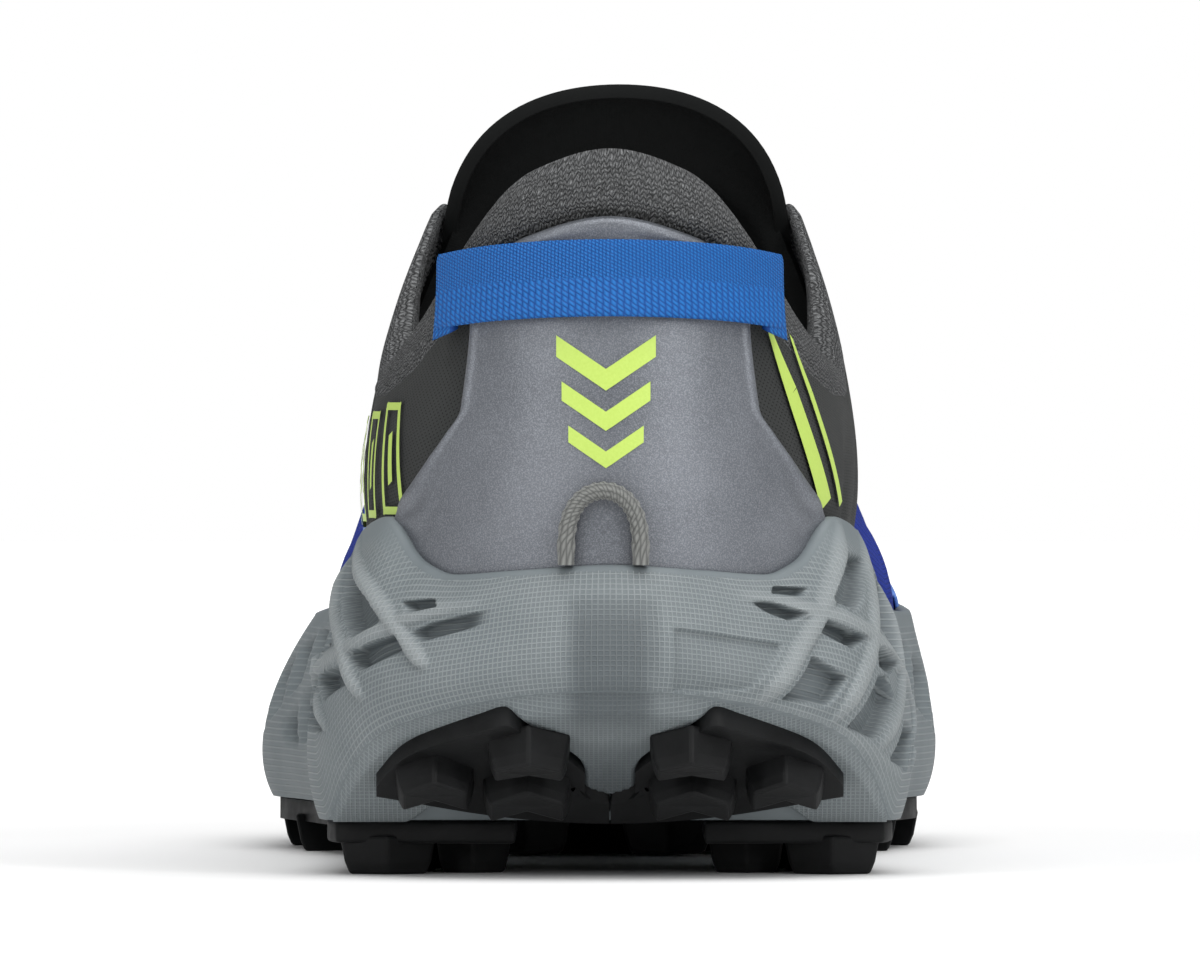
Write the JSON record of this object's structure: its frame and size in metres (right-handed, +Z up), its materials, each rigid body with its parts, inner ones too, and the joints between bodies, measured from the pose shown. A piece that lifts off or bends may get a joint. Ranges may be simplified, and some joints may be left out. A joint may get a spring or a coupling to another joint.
{
  "type": "trail running shoe",
  "caption": "Left trail running shoe: lugged outsole, ribbed foam midsole, hollow mesh upper with padded collar, tongue, insole, eyestay, toe cap, heel film, pull tab, cord loop and laces.",
  "frame": {"origin": "on the floor, under the middle of the shoe's outline", "axes": "+Y from heel to toe, +X toward the medial side, +Z up; the shoe stands on its sole"},
  "size_m": [0.1138, 0.2972, 0.1276],
  "materials": {
    "midsole": "matt foam with a fine grid texture",
    "outsole_forefoot": "matt black rubber",
    "outsole_heel_lateral": "matt black rubber",
    "outsole_heel_medial": "matt black rubber",
    "outsole_rear_lateral": "matt black rubber",
    "outsole_rear_medial": "matt black rubber",
    "insole": "dark knit over foam",
    "upper": "dark grey mesh, knit lining at the collar",
    "tongue": "smooth black cloth",
    "heel_counter": "fine speckled grey film",
    "toe_cap": "blue film",
    "eyestay": "blue film",
    "pull_tab": "woven webbing",
    "cord_loop": "braided cord",
    "laces": "flat woven lace"
  },
  "bodies": {
    "root": {"midsole": "midsole", "outsole_forefoot": "outsole_forefoot", "outsole_heel_lateral": "outsole_heel_lateral", "outsole_heel_medial": "outsole_heel_medial", "outsole_rear_lateral": "outsole_rear_lateral", "outsole_rear_medial": "outsole_rear_medial", "insole": "insole", "upper": "upper", "tongue": "tongue", "heel_counter": "heel_counter", "toe_cap": "toe_cap", "eyestay": "eyestay", "pull_tab": "pull_tab", "cord_loop": "cord_loop", "laces": "laces"}
  },
  "joints": []
}
